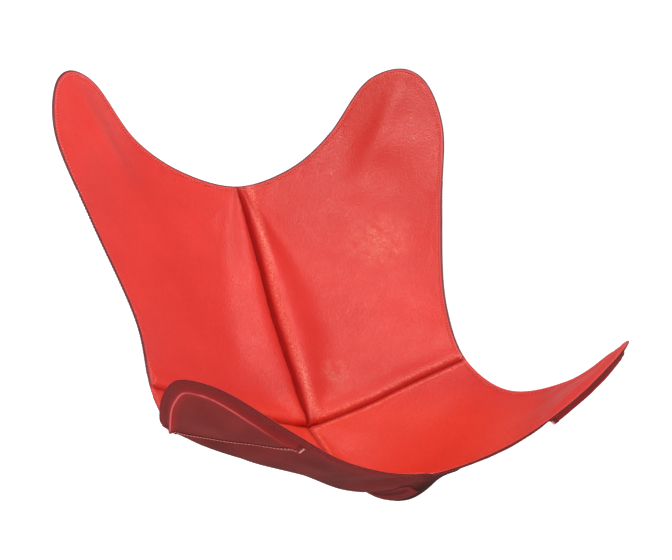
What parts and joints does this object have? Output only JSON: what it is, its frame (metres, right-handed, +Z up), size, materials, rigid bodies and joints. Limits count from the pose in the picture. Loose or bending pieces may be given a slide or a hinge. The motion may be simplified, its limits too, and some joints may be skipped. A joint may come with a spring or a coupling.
{
  "type": "butterfly sling chair",
  "caption": "Leather sling of a butterfly lounge chair, hung by corner pockets on its frame's tips: high back lobes, scooped seat and lifted front lobes.",
  "frame": {"origin": "midway between the tips of the four lobes, where the chair's frame holds the sling", "axes": "+Z up, the sitter faces -Y, +X to the right of someone looking at the seat from the front"},
  "size_m": [0.771, 0.7157, 0.6492],
  "materials": {
    "leather": "smooth dyed leather, soft sheen",
    "pocket_leather": "matt flesh side",
    "trim_leather": "matt dyed leather",
    "thread": "waxed sewing thread"
  },
  "bodies": {
    "root": {"back_panel_right": "leather", "back_panel_left": "leather", "seat_panel_right": "leather", "seat_panel_left": "leather", "rear_pocket_right": "pocket_leather", "rear_pocket_left": "pocket_leather", "rear_pocket_mouth_edge_right": "trim_leather", "rear_pocket_mouth_edge_left": "trim_leather", "front_pocket_right": "pocket_leather", "front_pocket_left": "pocket_leather", "front_pocket_mouth_edge_right": "trim_leather", "front_pocket_mouth_edge_left": "trim_leather", "top_hem_right": "trim_leather", "top_hem_left": "trim_leather", "back_side_hem_right": "trim_leather", "back_side_hem_left": "trim_leather", "front_hem_right": "trim_leather", "front_hem_left": "trim_leather", "seat_side_hem_right": "trim_leather", "seat_side_hem_left": "trim_leather", "back_edge_thread_right": "thread", "back_edge_thread_left": "thread", "seat_edge_thread_right": "thread", "seat_edge_thread_left": "thread", "rear_pocket_thread_right": "thread", "rear_pocket_thread_left": "thread", "front_pocket_thread_right": "thread", "front_pocket_thread_left": "thread", "back_seam_tape": "trim_leather", "seat_seam_tape": "trim_leather", "cross_seam_tape_right": "trim_leather", "cross_seam_tape_left": "trim_leather"}
  },
  "joints": []
}
